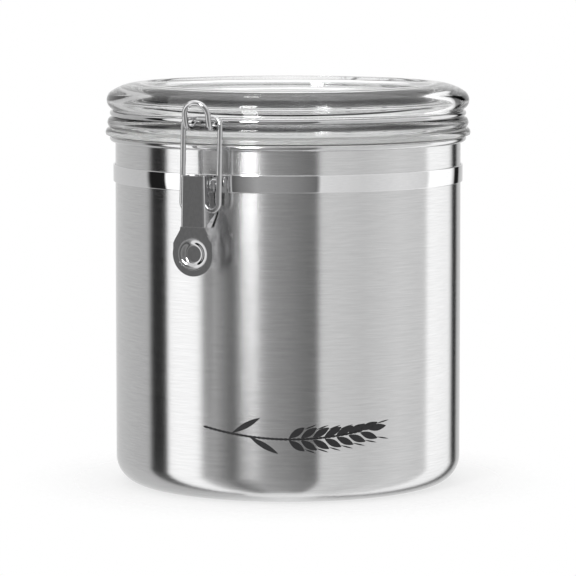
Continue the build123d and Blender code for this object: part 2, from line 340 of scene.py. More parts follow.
def new_finish(name):
    """An empty material, ready for its nodes."""
    return Finish(bpy.data.materials.new(name))


# %% [markdown]
# The tub is brushed while it turns, so thousands of hair-fine lines run level round the body.
# They spread a reflection upwards and downwards but keep its sides crisp. A noise that is squeezed
# in height gives the lines, and the anisotropy of the shader gives the upright spread.

# %% Brushed body steel
def brushed_steel(dark=(0.57, 0.57, 0.572), light=(0.92, 0.92, 0.923)):
    """Steel with level brush lines, between the reflectance of the deep and the high lines."""
    finish = new_finish("brushed_body_steel")
    least_roughness, roughness_spread = 0.13, 0.12
    hair_lines = finish.noise((30, 30, 5200), 3.0, 0.65)
    broad_lines = finish.noise((90, 90, 1700), 4.0, 0.6)
    lines = hair_lines * 0.5 + broad_lines * 0.5
    steel = finish.node(
        "ShaderNodeBsdfPrincipled",
        Base_Color=finish.tones(lines, dark, light),
        Metallic=1.0,
        Roughness=lines * roughness_spread + least_roughness,
        Anisotropic=0.85,
        Anisotropic_Rotation=0.25,
        Normal=finish.node("ShaderNodeBump", Height=lines, Strength=0.05, Distance=0.2 * MM),
    )
    return finish.close(steel)


body_steel = brushed_steel()
print("finish:", body_steel.name)

# %% [markdown]
# The strap, the brackets, the lever and the wire are polished. A polished part is a mirror with
# the faintest haze: finger marks change its roughness a little, and drawing marks cloud its tone.
# One recipe serves them all, with a tone, haze and size of marks for each. The lever and the wire
# are darker than the strap: partly their steel, partly painted shade of the dark room they mirror.

# %% Polished steels
def polished_steel(name, light, haze, squeeze, tone_spread=0.06, blue=0.005):
    """Mirror steel. light is its reflectance, haze its roughness, squeeze shapes its marks."""
    finish = new_finish(name)
    smudge = finish.noise((60, 60, 60), 5.0, 0.7)
    scratch = finish.noise(squeeze, 2.0, 0.5)
    low, high = light - tone_spread, light + tone_spread
    steel = finish.node(
        "ShaderNodeBsdfPrincipled",
        Base_Color=finish.tones(scratch, (low, low, low + blue), (high, high, high + blue)),
        Metallic=1.0,
        Roughness=smudge * (haze * 0.8) + haze * 0.6,
        Normal=finish.node("ShaderNodeBump", Height=scratch, Strength=0.03, Distance=0.1 * MM),
    )
    return finish.close(steel)


strap_steel = polished_steel("polished_strap_steel", 0.88, 0.04, (300, 300, 4000))
# The lever's low tone is partly painted shade: it stands in for the dark room that it mirrors.
lever_steel = polished_steel("polished_lever_steel_painted_shade", 0.56, 0.05, (900, 900, 500))
# The wire's lowered tone is partly painted shade, for the dark edges that it mirrors.
wire_steel = polished_steel("polished_wire_steel_painted_shade", 0.66, 0.03, (700, 700, 700))
pin_steel = polished_steel("satin_pin_steel", 0.68, 0.22, (2500, 900, 900))
print("finishes:", strap_steel.name, lever_steel.name, wire_steel.name, pin_steel.name)

# %% [markdown]
# The lid is clear moulded plastic. It bends light like glass, with a slightly lower index, and
# its surface has the soft ripple of a moulding. The ripple is a very weak bump.

# %% Clear lid plastic
def clear_plastic(tint=(0.995, 0.997, 0.997, 1), bends_light=1.49):
    """Clear plastic with the faint ripple of a moulding."""
    finish = new_finish("clear_lid_plastic")
    least_roughness, roughness_spread = 0.005, 0.03
    ripple = finish.noise((38, 38, 60), 2.0, 0.4)
    plastic = finish.node(
        "ShaderNodeBsdfPrincipled",
        Base_Color=tint,
        Roughness=ripple * roughness_spread + least_roughness,
        IOR=bends_light,
        Transmission_Weight=1.0,
        Normal=finish.node("ShaderNodeBump", Height=ripple, Strength=0.03, Distance=0.8 * MM),
    )
    return finish.close(plastic)


lid_plastic = clear_plastic()
print("finish:", lid_plastic.name)

# %% [markdown]
# The seal is milky silicone and the print on the front is dull black ink. Both get a fine
# unevenness, because a moulded seal has a powdery skin and printed ink lies in small grains.

# %% Silicone and ink
def dull_finish(name, dark, light, scale, shine):
    """A dull material between two tones, with fine grain."""
    finish = new_finish(name)
    least_roughness, roughness_spread = 0.4, 0.2
    grain = finish.noise((scale, scale, scale), 4.0, 0.6)
    skin = finish.node(
        "ShaderNodeBsdfPrincipled",
        Base_Color=finish.tones(grain, dark, light),
        Roughness=grain * roughness_spread + least_roughness,
        Specular_IOR_Level=shine,
        Normal=finish.node("ShaderNodeBump", Height=grain, Strength=0.08, Distance=0.1 * MM),
    )
    return finish.close(skin)


silicone = dull_finish("milky_silicone", (0.82, 0.82, 0.81), (0.9, 0.9, 0.89), 900, 0.4)
ink = dull_finish("black_print_ink", (0.012, 0.012, 0.013), (0.03, 0.03, 0.032), 1500, 0.35)
print("finishes:", silicone.name, ink.name)

# %% [markdown]
# Each finished piece gets its material, rides on the body that it moves with, and hides the
# measured nodes it stands for.

# %% Dressing a piece
def dress(piece, material, body, slot_name=None, *nodes):
    """Give a finished piece its material and its body, and hide the nodes it stands for; slot_name
    is not used.
    """
    piece.data.materials.clear()
    piece.data.materials.append(material)
    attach(piece, body)
    if nodes:
        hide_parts(*nodes)
    print(piece.name, len(piece.data.polygons), "faces")


# %% [markdown]
# The tub is drawn from one disc of sheet. Its outline has a flat base, a round corner, a straight
# wall and a lip that is rolled outwards. We draw the outside, turn at the lip and come back inside.

# %% The body
body_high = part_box("canister_body")[1]
rim_top = body_high[2] / MM
bead_radius = 1.7
wall = 0.6
corner_radius = 13.5
inner_radius = body_high[0] / MM - 2 * bead_radius
body_radius = inner_radius + wall
base_radius = body_radius - corner_radius
corner_center = (base_radius, corner_radius)
bead_center = (inner_radius + bead_radius, rim_top - bead_radius)
curl_start = -136  # degrees, where the outer wall runs into the rolled lip
lower_row, upper_row = 60.0, 120.0  # heights of two rows of points on the straight wall

outline = [(0.0, 0.0), (base_radius / 2, 0.0), (base_radius - 1, 0.0)]
outline += arc(corner_center, corner_radius, -90, 0, 20)
outline += [(body_radius, lower_row), (body_radius, upper_row)]
outline += arc(bead_center, bead_radius, curl_start, 180, 26)
outline += [(inner_radius, upper_row), (inner_radius, lower_row)]
outline += arc(corner_center, corner_radius - wall, 0, -90, 16)
outline += [(base_radius / 2, wall), (0.0, wall)]
body = turned("body_shell", outline)
dress(body, body_steel, "canister", "body_steel", "canister_body")

# %% [markdown]
# The strap is a flat strip with rounded edges, bent round the body. Its ends meet behind, under
# the hinge bracket, so we spin its section a little less than a full turn.

# %% The strap
def rounded_section(inner, outer, bottom, top, edge, outer_steps, inner_steps):
    """A rectangle of radius and height with round corners, drawn from the lower outer corner."""
    points = arc((outer - edge, bottom + edge), edge, -90, 0, outer_steps)
    points += arc((outer - edge, top - edge), edge, 0, 90, outer_steps)
    points += arc((inner + edge, top - edge), edge, 90, 180, inner_steps)
    return points + arc((inner + edge, bottom + edge), edge, 180, 270, inner_steps)


band_low, band_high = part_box("clamp_band")
band_bottom = band_low[2] / MM
band_top = band_high[2] / MM
band_outer = band_high[0] / MM
band_thickness = 1.0
band_edge = 0.35
band_gap = 3.0
band_inner = band_outer - band_thickness
half_gap = math.asin(band_gap / 2 / band_outer)
band = turned(
    "strap",
    rounded_section(band_inner, band_outer, band_bottom, band_top, band_edge, 4, 3),
    closed=True,
    start=math.pi / 2 + half_gap,
    sweep=TURN - 2 * half_gap,
)
dress(band, strap_steel, "canister", "polished_steel", "clamp_band")

# %% [markdown]
# The lid is one thick moulding. From outside it shows four soft bulges: the flange, a rib, the
# groove that holds the wire, and a tall rounded shoulder round a sunk flat panel. We take its
# width from the frame, and count every height from the rim that the lid sits on.

# %% The lid's sizes
lid_low, lid_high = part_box("lid")
flange_radius = lid_high[0] / MM
notch_depth = 2.5
notch_radius = flange_radius - notch_depth
rib_radius = flange_radius - 1.0
bulge_radius = flange_radius - 0.65
skirt_radius = flange_radius - 1.9
plug_radius = inner_radius - 1.0

wire_radius = 1.43
ring_radius = flange_radius - 3.65
groove_radius = wire_radius + 0.15

flange_z = rim_top + 0.3
flange_bulge_z = rim_top + 1.2
low_notch_z = rim_top + 3.8
rib_z = rim_top + 6.5
high_notch_z = rim_top + 9.1
ring_z = rim_top + 11.3
bulge_notch_z = rim_top + 13.5
bulge_z = rim_top + 17.9
recess_z = flange_z + 1.7
plug_z = lid_low[2] / MM
print("wire ring in millimetres: radius", round(ring_radius, 2), "height", round(ring_z, 2))

# %% [markdown]
# The shoulder is two arcs that meet without a kink: a small one at its widest place and a wide
# one over the crest. Its height follows from them, and the height of the panel from the crest.

# %% The outside of the lid
shoulder_radius = 5.5
shoulder_turn = 57.0
crown_radius = 26.0
under_radius = 5.0
panel_depth = 4.8
panel_rows = (30.0, 60.0)  # radii of two rings of points on the flat panel

shoulder_x = bulge_radius - shoulder_radius
turn_cos = math.cos(math.radians(shoulder_turn))
turn_sin = math.sin(math.radians(shoulder_turn))
crest_x = shoulder_x + (shoulder_radius - crown_radius) * turn_cos
crown_z = bulge_z + (shoulder_radius - crown_radius) * turn_sin
crest_z = crown_z + crown_radius
panel_z = crest_z - panel_depth
under_angle = math.degrees(math.asin((bulge_notch_z - bulge_z) / under_radius))

flange_round = (notch_depth**2 + (low_notch_z - flange_bulge_z) ** 2) / (2 * notch_depth)
flange_x = flange_radius - flange_round
flange_top_angle = math.degrees(math.acos((notch_radius - flange_x) / flange_round))
flange_low_angle = math.degrees(math.asin((flange_z - flange_bulge_z) / flange_round))

outside = [(0.0, panel_z)] + [(row, panel_z) for row in panel_rows]
outside += [(crest_x - panel_depth - 1, panel_z)]
outside += arc((crest_x, panel_z), panel_depth, 180, 90, 14)
outside += arc((crest_x, crown_z), crown_radius, 90, shoulder_turn, 14)[1:]
outside += arc((shoulder_x, bulge_z), shoulder_radius, shoulder_turn, 0, 12)[1:]
outside += arc((bulge_radius - under_radius, bulge_z), under_radius, 0, under_angle, 12)[1:]
outside += arc((ring_radius, ring_z), groove_radius, 90, 270, 16)
outside += arc_through(
    (notch_radius, high_notch_z), (rib_radius, rib_z), (notch_radius, low_notch_z), 12
)
outside += arc(
    (flange_x, flange_bulge_z), flange_round, flange_top_angle, flange_low_angle, 12
)[1:]
print("crest height in millimetres:", round(crest_z, 2))

# %% [markdown]
# Below, a plug enters the mouth, with a recess beside it for the seal. The inside is hollow up to
# the shoulder. Both skins have to be drawn, because light is bent at each of them.

# %% The inside of the lid
lid_wall = 2.4
crest_extra_wall = 0.3
plug_edge = 0.5
cavity_radius = 6.0
plug_inner = plug_radius - lid_wall
ceiling_z = crest_z - lid_wall - crest_extra_wall
under_panel_z = panel_z - lid_wall
step_radius = panel_depth - lid_wall

inside = [(skirt_radius, flange_z), (skirt_radius, recess_z), (plug_radius, recess_z)]
inside += [(plug_radius, plug_z + plug_edge), (plug_radius - plug_edge, plug_z)]
inside += [(plug_inner + plug_edge, plug_z), (plug_inner, plug_z + plug_edge)]
inside += arc((plug_inner - cavity_radius, ceiling_z - cavity_radius), cavity_radius, 0, 90, 14)
inside += arc((crest_x, ceiling_z - step_radius), step_radius, 90, 180, 8)
inside += [(crest_x - step_radius, under_panel_z)]
inside += [(row, under_panel_z) for row in reversed(panel_rows)] + [(0.0, under_panel_z)]
lid = turned("lid_moulding", outside + inside)
dress(lid, lid_plastic, "lid_assembly", "lid_acrylic", "lid")

# %% [markdown]
# The seal is a silicone ring in the recess of the flange. A fine lip at its foot meets the rolled
# rim, so its section gets rounded corners and a shallow groove below.

# %% The seal
seal_low, seal_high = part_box("lid_gasket")
seal_bottom = seal_low[2] / MM
seal_top = seal_high[2] / MM
seal_outer = seal_high[0] / MM
seal_inner = plug_radius + 0.05
seal_edge = 0.4
lip_groove_radius = 0.35
lip_groove_center = (bead_center[0] + 0.4, seal_bottom)
outline = rounded_section(seal_inner, seal_outer, seal_bottom, seal_top, seal_edge, 5, 5)
outline += arc(lip_groove_center, lip_groove_radius, 180, 0, 6)
seal = turned("silicone_seal", outline, steps=192, closed=True)
dress(seal, silicone, "lid_assembly", "gasket_silicone", "lid_gasket")

# %% [markdown]
# One sprung wire lies in the groove of the lid. We spin its ring over less than a full turn,
# because at the front the wire leaves the groove. Its cut end shows beside the hook's left foot.

# %% The ring of the lid wire
hook_half = 6.5
hook_end_length = 3.4
ring_sides = 24
cut_end = math.asin((hook_end_length - hook_half) / ring_radius)
hook_foot = math.asin(hook_half / ring_radius)
ring = turned(
    "ring_wire",
    arc((ring_radius, ring_z), wire_radius, 0, 360 - 360 / ring_sides, ring_sides - 1),
    steps=280,
    closed=True,
    start=-math.pi / 2 + hook_foot,
    sweep=TURN - (hook_foot - cut_end),
)
print("ring faces:", len(ring.data.polygons))

# %% [markdown]
# The hook leaves the groove, dips, turns up at its heel and closes in a round top. At the back the
# same wire makes the loop that turns in the hinge. Both start inside the ring, so that no joint
# shows, and all three are joined to one piece.

# %% The hook and the hinge loop
def ring_depth(x):
    """How far in front or behind the middle the wire ring is, at a distance to the side."""
    return math.sqrt(ring_radius**2 - x**2)


dip_reach, heel_reach, top_reach = 5.15, 10.25, 13.25
dip_drop, heel_drop, top_rise = 2.7, 2.6, 9.7
hook_line = [
    (-ring_depth(hook_half), ring_z),
    (-(ring_radius + dip_reach), ring_z - dip_drop),
    (-(ring_radius + heel_reach), ring_z - heel_drop),
    (-(ring_radius + top_reach), ring_z + top_rise),
]
hook_corners = [(-hook_half, *point) for point in hook_line]
hook_corners += [(hook_half, *point) for point in hook_line[::-1]]
foot_bend, heel_bend, top_bend = 3.0, 2.4, hook_half - 0.2
hook_bends = [foot_bend, heel_bend, top_bend, top_bend, heel_bend, foot_bend]
hook = bent_wire("hook_wire", hook_corners, hook_bends, wire_radius)

hinge_half = 12.0
hinge_bend = 3.5
hinge_reach, hinge_drop = 13.15, 3.5
hinge_y = ring_radius + hinge_reach
hinge_z = rim_top - hinge_drop
loop_line = [(ring_depth(hinge_half), ring_z), (hinge_y, ring_z), (hinge_y, hinge_z)]
loop_corners = [(-hinge_half, *point) for point in loop_line]
loop_corners += [(hinge_half, *point) for point in loop_line[::-1]]
loop = bent_wire("hinge_loop_wire", loop_corners, [hinge_bend] * 4, wire_radius)

lid_wire = join("lid_wire_ring", [ring, hook, loop])
dress(lid_wire, wire_steel, "lid_assembly", "wire_steel", "lid_wire")

# %% [markdown]
# The bail is a closed loop of the same wire. Its foot passes through the sides of the lever, a
# little behind and well below the pin, and its head rests in the dip of the hook.

# %% The bail
sheet = 0.8
pivot_reach, pivot_rise = 8.68, 4.6
pivot_y = -(band_outer + sheet + pivot_reach)
pivot_z = band_bottom + pivot_rise
eye_inset, eye_drop = 1.5, 13.3
eye = (pivot_y + eye_inset, pivot_z - eye_drop)
bail_half = 10.25
bail_bend = 4.0
head_reach, head_rise = dip_reach + 0.4, 2.1
bail_head = (-(ring_radius + head_reach), ring_z + head_rise)
bail_corners = [(bail_half, *eye), (bail_half, *bail_head)]
bail_corners += [(-bail_half, *bail_head), (-bail_half, *eye)]
bail = bent_wire("bail_wire", bail_corners, [bail_bend] * 4, wire_radius, closed=True)
dress(bail, wire_steel, "bail", "wire_steel", "bail")

# %% [markdown]
# The lever is pressed from one strip: a channel with two side flanges at the top, and below it a
# flat neck and a round finger pad with a pressed dimple. Such a shape is a filled outline that is
# pushed along one direction, cut by other solids, with its edges rounded last.

# %% Pushing, cutting and rounding
def prism(name, points, push):
    """A closed outline in millimetres, filled and pushed along one direction."""
    piece = draw_outline(name, [Vector(p) * MM for p in points])
    bpy.ops.mesh.edge_face_add()
    bpy.ops.mesh.extrude_region_move(TRANSFORM_OT_translate={"value": Vector(push) * MM})
    bpy.ops.mesh.select_all(action="SELECT")
    bpy.ops.mesh.normals_make_consistent(inside=False)
    bpy.ops.object.mode_set(mode="OBJECT")
    return piece


def rod(center, radius, length, axis_turn=(0, math.pi / 2, 0), sides=48):
    """A round cutting rod, in millimetres, across the canister unless it is turned."""
    deselect_all()
    bpy.ops.mesh.primitive_cylinder_add(
        vertices=sides,
        radius=radius * MM,
        depth=length * MM,
        location=Vector(center) * MM,
        rotation=axis_turn,
        calc_uvs=False,
    )
    bpy.ops.object.transform_apply(location=True, rotation=True, scale=True)
    return bpy.context.active_object


def combine(piece, tool, operation):
    """Cut or keep with another closed piece, which is then thrown away."""
    activate(piece)
    cut = piece.modifiers.new("combine", "BOOLEAN")
    cut.operation = operation
    cut.object = tool
    cut.solver = "EXACT"
    bpy.ops.object.modifier_apply(modifier="combine")
    bpy.data.objects.remove(tool)


def soften(piece, edge, bevel_above=35, smooth_below=45):
    """Round the edges of a pressed piece, and keep its large faces flat."""
    activate(piece)
    rounding = piece.modifiers.new("round_edges", "BEVEL")
    rounding.width = edge * MM
    rounding.segments = 3
    rounding.limit_method = "ANGLE"
    rounding.angle_limit = math.radians(bevel_above)
    bpy.ops.object.modifier_apply(modifier="round_edges")
    bpy.ops.object.shade_smooth_by_angle(angle=math.radians(smooth_below))
    weight = piece.modifiers.new("flat_faces", "WEIGHTED_NORMAL")
    weight.keep_sharp = True
    weight.weight = 100
    bpy.ops.object.modifier_apply(modifier="flat_faces")
    deselect_all()
    return piece


# %% [markdown]
# The channel is drawn as a section with rounded bends and pushed upwards. Its foot is spread a
# little, to run into the wider neck. We draw half the section and mirror its points, so that both
# sides are the same.

# %% The lever's channel
face_reach, lever_rise, neck_drop = 6.9, 4.4, 21.0
face_y = pivot_y - face_reach
lever_top_z = pivot_z + lever_rise
neck_z = pivot_z - neck_drop
channel_half = 6.3
neck_half = 6.9
bend_radius = 1.1
channel_depth = 11.9
bend_center = (channel_half - bend_radius, face_y + bend_radius)


def half_channel(half, radius):
    """One side of the channel's section, from its open back to the face."""
    return [(half, face_y + channel_depth)] + arc(bend_center, radius, 0, -90, 6)


outer_half = half_channel(channel_half, bend_radius)
inner_half = half_channel(channel_half - sheet, bend_radius - sheet)
section = outer_half + [(-x, y) for x, y in outer_half[::-1]]
section += [(-x, y) for x, y in inner_half] + inner_half[::-1]
channel = prism(
    "lever_channel", [(x, y, neck_z) for x, y in section], (0, 0, lever_top_z - neck_z)
)
activate(channel)
bpy.ops.object.mode_set(mode="EDIT")
select_points(channel, lambda vertex: vertex.co.z < (neck_z + 1) * MM)
bpy.ops.transform.resize(value=(neck_half / channel_half, 1, 1), center_override=(0, 0, 0))
bpy.ops.object.mode_set(mode="OBJECT")
print("channel height in millimetres:", round(lever_top_z - neck_z, 2))

# %% [markdown]
# Seen from the side, each flange swells round the hole of the bail and round the hole of the pin,
# and runs out to nothing at the neck. We keep what is inside that side outline and cut the holes
# with two rods, as a press would punch them.

# %% The lever's flanges and holes
hole_fit = 0.05
pin_hole = 1.5 + hole_fit
eye_hole = wire_radius + hole_fit
pin_ear = pin_hole + 1.55
eye_ear = eye_hole + 1.42
tool_half = 9.0
front_y = face_y - 1  # in front of the lever, so that the face is kept whole
flange_foot_y = face_y + 0.5
flange_top_y = pivot_y + 0.4
flange_side = [(front_y, neck_z), (flange_foot_y, neck_z)]
flange_side += arc(eye, eye_ear, -75, 0, 8)
flange_side += arc((pivot_y, pivot_z), pin_ear, 0, 80, 8)
flange_side += [(flange_top_y, lever_top_z), (front_y, lever_top_z)]
flange_tool = prism(
    "flange_tool", [(-tool_half, y, z) for y, z in flange_side], (2 * tool_half, 0, 0)
)
combine(channel, flange_tool, "INTERSECT")
combine(channel, rod((0, pivot_y, pivot_z), pin_hole, 2 * tool_half), "DIFFERENCE")
combine(channel, rod((0, *eye), eye_hole, 2 * tool_half), "DIFFERENCE")
soften(channel, 0.07)
print("channel faces:", len(channel.data.polygons))

# %% [markdown]
# The pad is cut from the same strip. One half of its outline is drawn from the neck over the
# square shoulder and round the pad, and the other half mirrors it. A rod cuts the round opening
# that the dimple fills.

# %% The lever's pad
pad_drop, shoulder_rise = 34.5, 5.2
pad_z = pivot_z - pad_drop
shoulder_z = pad_z + shoulder_rise
pad_radius = 11.2
dimple_radius = 8.1
neck_flare, neck_length = 0.25, 1.6
shoulder_cut, shoulder_slope, side_inset = 1.0, 1.6, 0.25
side_angle = 12  # degrees, where the straight side meets the round pad
half_pad = [(neck_half, neck_z), (neck_half + neck_flare, neck_z - neck_length)]
half_pad += [(pad_radius - shoulder_cut, shoulder_z + shoulder_slope)]
half_pad += [(pad_radius - side_inset, shoulder_z)]
half_pad += arc((0, pad_z), pad_radius, side_angle, -90, 34)
pad_outline = half_pad + [(-x, z) for x, z in half_pad[-2::-1]]
pad = prism("lever_pad", [(x, face_y, z) for x, z in pad_outline], (0, sheet, 0))
dimple_cutter = rod((0, face_y, pad_z), dimple_radius, 6.0, (math.pi / 2, 0, 0), sides=96)
combine(pad, dimple_cutter, "DIFFERENCE")
soften(pad, 0.1)
print("pad faces:", len(pad.data.polygons))

# %% [markdown]
# The dimple is turned by itself, because a turned shape stays smooth where it mirrors the room. It
# has a flat floor and a slope that rises steeply at first and runs out softly into the pad. It is
# turned upright, and its mesh is then tipped to face the front.

# %% The lever's dimple
floor_radius = 4.9
dimple_depth = 1.3
# Each slope point is a step outward from the rim of the floor and up from the floor.
front_slope = [(-0.35, 0.06), (0.1, 0.25), (0.7, 0.62), (1.3, 0.96), (1.9, 1.18), (2.5, 1.27)]
back_slope = [(2.2, 1.25), (0.9, 0.5), (0.0, 0.1), (-0.9, 0.0)]
dimple_outline = [(r, -dimple_depth) for r in (0.0, 2.0, floor_radius - 1.2, floor_radius - 0.9)]
dimple_outline += [(floor_radius + out, up - dimple_depth) for out, up in front_slope]
dimple_outline += [(dimple_radius, 0.0), (dimple_radius, -sheet)]
dimple_outline += [(floor_radius + out, up - dimple_depth - sheet) for out, up in back_slope]
dimple_outline += [(0.0, -dimple_depth - sheet)]
dimple = turned("lever_dimple", dimple_outline, steps=96)
face_front = Matrix.Rotation(math.pi / 2, 4, "X")
dimple.data.transform(Matrix.Translation((0, face_y * MM, pad_z * MM)) @ face_front)
lever = join("lever_pressing", [channel, pad, dimple])
dress(lever, lever_steel, "lever", "lever_steel", "lever")

# %% [markdown]
# The two brackets and the pin are small pressed and turned parts. The frame already has their
# exact shape as loose triangles, so we copy it, merge it, dissolve the flat areas and let a bevel
# round the edges, because no pressed edge is knife sharp.

# %% The brackets and the pin
def pressed_copy(node_name, name, edge):
    """A merged copy of a frame node with rounded edges."""
    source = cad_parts[node_name]
    piece = source.copy()
    piece.data = source.data.copy()
    piece.name = name
    piece.parent = None
    piece.matrix_world = Matrix.Identity(4)
    scene.collection.objects.link(piece)
    activate(piece)
    bpy.ops.object.mode_set(mode="EDIT")
    bpy.ops.mesh.select_all(action="SELECT")
    bpy.ops.mesh.remove_doubles(threshold=MERGE_DISTANCE)
    bpy.ops.mesh.dissolve_limited(angle_limit=math.radians(0.6))
    bpy.ops.object.mode_set(mode="OBJECT")
    return soften(piece, edge)


front_bracket = pressed_copy("front_bracket", "front_bracket_pressing", 0.1)
dress(front_bracket, strap_steel, "canister", "polished_steel", "front_bracket")
rear_bracket = pressed_copy("hinge_bracket", "hinge_bracket_pressing", 0.1)
dress(rear_bracket, strap_steel, "canister", "polished_steel", "hinge_bracket")
pin = pressed_copy("lever_pin", "lever_pin_turned", 0.15)
dress(pin, pin_steel, "canister", "pin_steel", "lever_pin")

# %% [markdown]
# The front carries a small black print, a plain wheat sprig. It is drawn flat from pointed grains.
# No edit tool gives a disc the outline of a leaf, so there we move its points by a formula. A few
# cuts make it fine enough to follow the round tub later.

# %% One grain of the sprig
def flat_grain(length, width, place, angle):
    """One pointed grain in the XZ plane: a disc squeezed to a leaf, then turned and moved."""
    deselect_all()
    bpy.ops.mesh.primitive_circle_add(
        vertices=20, radius=0.5, fill_type="TRIFAN", calc_uvs=False
    )
    grain = bpy.context.active_object
    pointed = 0.55
    for vertex in grain.data.vertices:
        along = 2 * vertex.co.x
        across = vertex.co.y * (1 - pointed * along * along)
        vertex.co = (vertex.co.x * length * MM, 0, across * width * MM)
    bpy.ops.object.mode_set(mode="EDIT")
    bpy.ops.mesh.select_all(action="SELECT")
    bpy.ops.mesh.subdivide(number_cuts=2)
    bpy.ops.object.mode_set(mode="OBJECT")
    move = Matrix.Translation((place[0] * MM, 0, place[1] * MM))
    grain.data.transform(move @ Matrix.Rotation(-angle, 4, "Y"))
    return grain


# %% [markdown]
# The stem is a row of short grains that overlap along a shallow bow. The ear is seven pairs of
# grains that lean less and less towards the tip, each with a fine awn, and one grain ends it. Two
# long grains make the leaves.

# %% The flat sprig
STEM_HALF = 44.0
STEM_STEP = 2.2
STEM_STEPS = 36
EAR_START, EAR_STEP, EAR_PAIRS = -2.0, 6.0, 7
FIRST_LEAN, LEAN_STEP = 34, 2.2  # degrees
GRAIN = (9.4, 3.5)  # length and width
STEM_GRAIN = (3.4, 1.25)
AWN = (6.4, 0.7)
LEAF = (16.0, 2.9)
LEAF_LEAN = 30  # degrees
LEAF_REACH, LEAF_RISE = 7.0, 4.4
TIP_REACH, TIP_LEAN = 43.0, 0.12


def stem_height(along):
    """The stem bows gently downwards along its length."""
    return -3.4 + 5.2 * (along / STEM_HALF) ** 2


def ear_grain(along, lean, side):
    """A grain beside the stem and the awn at its tip. side is 1 above and -1 below."""
    reach, awn_reach = GRAIN[0] / 2, 2.6
    gap_along, gap_across = 0.5, 0.7
    tip_lean, awn_lean = lean * 0.7, lean * 0.6
    center = (
        along + reach * math.cos(lean) + gap_along,
        stem_height(along) + side * (reach * math.sin(lean) + gap_across),
    )
    tip = (
        center[0] + reach * math.cos(tip_lean) + awn_reach * math.cos(awn_lean),
        center[1] + side * (reach * math.sin(tip_lean) + awn_reach * math.sin(awn_lean)),
    )
    return [flat_grain(*GRAIN, center, side * lean), flat_grain(*AWN, tip, side * awn_lean)]


sprig_parts = []
for i in range(STEM_STEPS):
    along = -STEM_HALF + STEM_STEP * i
    low, high = stem_height(along), stem_height(along + STEM_STEP)
    middle = (along + STEM_STEP / 2, (low + high) / 2)
    sprig_parts.append(flat_grain(*STEM_GRAIN, middle, math.atan2(high - low, STEM_STEP)))
for i in range(EAR_PAIRS):
    lean = math.radians(FIRST_LEAN - LEAN_STEP * i)
    for side in (-1, 1):
        sprig_parts += ear_grain(EAR_START + EAR_STEP * i, lean, side)
sprig_parts.append(flat_grain(*GRAIN, (TIP_REACH, stem_height(TIP_REACH - 2)), TIP_LEAN))
for side, along in ((1, -30.0), (-1, -21.0)):
    leaf_center = (along + LEAF_REACH, stem_height(along) + side * LEAF_RISE)
    sprig_parts.append(flat_grain(*LEAF, leaf_center, side * math.radians(LEAF_LEAN)))
sprig = join("printed_wheat_sprig", sprig_parts)
print("grains in the sprig:", len(sprig_parts))

# %% [markdown]
# A printer rolls the flat picture onto the tub. We hang the sprig in front of the tub, project it
# straight back onto the wall and turn it about the upright axis to its place. Last it gets the
# thickness of a coat of ink.

# %% The print on the tub
PRINT_AZIMUTH = 27.5
PRINT_Z = 37.0
sprig.data.transform(Matrix.Translation((0, -(body_radius + 6) * MM, PRINT_Z * MM)))
activate(sprig)
wrap = sprig.modifiers.new("lay_on_body", "SHRINKWRAP")
wrap.target = body
wrap.wrap_method = "PROJECT"
wrap.use_project_y = True
wrap.use_negative_direction = False
wrap.use_positive_direction = True
wrap.wrap_mode = "ABOVE_SURFACE"
wrap.offset = 0.05 * MM
bpy.ops.object.modifier_apply(modifier="lay_on_body")
sprig.data.transform(Matrix.Rotation(math.radians(PRINT_AZIMUTH), 4, "Z"))
coat = sprig.modifiers.new("ink_coat", "SOLIDIFY")
coat.thickness = 0.04 * MM
coat.offset = 0
bpy.ops.object.modifier_apply(modifier="ink_coat")
bpy.ops.object.shade_smooth_by_angle(angle=math.radians(40))
dress(sprig, ink, "canister")

# %% [markdown]
# The studio is a plain white room, and polished steel shows whatever stands in it. In such a
# studio tall cards stand round the canister: white ones for the bright bands and grey or black
# ones for the dark bands. Here one tall ring carries them all, and only the camera looks past it.

# %% The white room
CAMERA_AZIMUTH = 26.2
WHITE = (1, 1, 1, 1)
camera_turn = math.radians(CAMERA_AZIMUTH)
scene.world = bpy.data.worlds.new("white_room")
room = Finish(scene.world)
room.close(room.node("ShaderNodeBackground", Color=WHITE, Strength=1.0), "ShaderNodeOutputWorld")
print("room:", scene.world.name)

# %% [markdown]
# Each card is a place on a colour ramp: its azimuth, counted in degrees from the camera towards
# the right, and its brightness. The ramp blends from one to the next, which gives soft edges, and
# two stops close together give a hard one. The ring reaches far below the floor, so that the
# rounded foot of the tub mirrors the same bands.

# %% The ring of cards
CARD_RADIUS = 3.2
CARD_LOW = -12.0
CARD_HIGH = 2.2
CARD_LIGHT = 1.25
CARDS = [
    (-180, 0.70), (-158, 0.50), (-105, 0.42), (-101, 0.01), (-87, 0.01), (-85.5, 1.02),
    (-62, 0.98), (-56, 0.46), (-36, 0.07), (-31, 0.16), (-20, 0.30), (0, 0.22),
    (19, 0.12), (21, 0.60), (50, 0.52), (78, 0.62), (102, 0.56), (106, 0.98),
    (134, 0.88), (139, 0.45), (141, 0.01), (149, 0.01), (153, 0.40), (180, 0.70),
]
deselect_all()
bpy.ops.mesh.primitive_cylinder_add(
    vertices=96,
    radius=CARD_RADIUS,
    depth=CARD_HIGH - CARD_LOW,
    end_fill_type="NOTHING",
    location=(0, 0, (CARD_HIGH + CARD_LOW) / 2),
)
ring_of_cards = bpy.context.active_object
ring_of_cards.name = "ring_of_cards"
bpy.ops.object.transform_apply(location=True, rotation=True, scale=True)
ring_of_cards.visible_camera = False
print("cards:", len(CARDS))

# %% [markdown]
# The material of the ring turns a place on it into an azimuth: the arc tangent of how far the
# place lies to the right and how far in front, seen from the canister. It glows by itself.

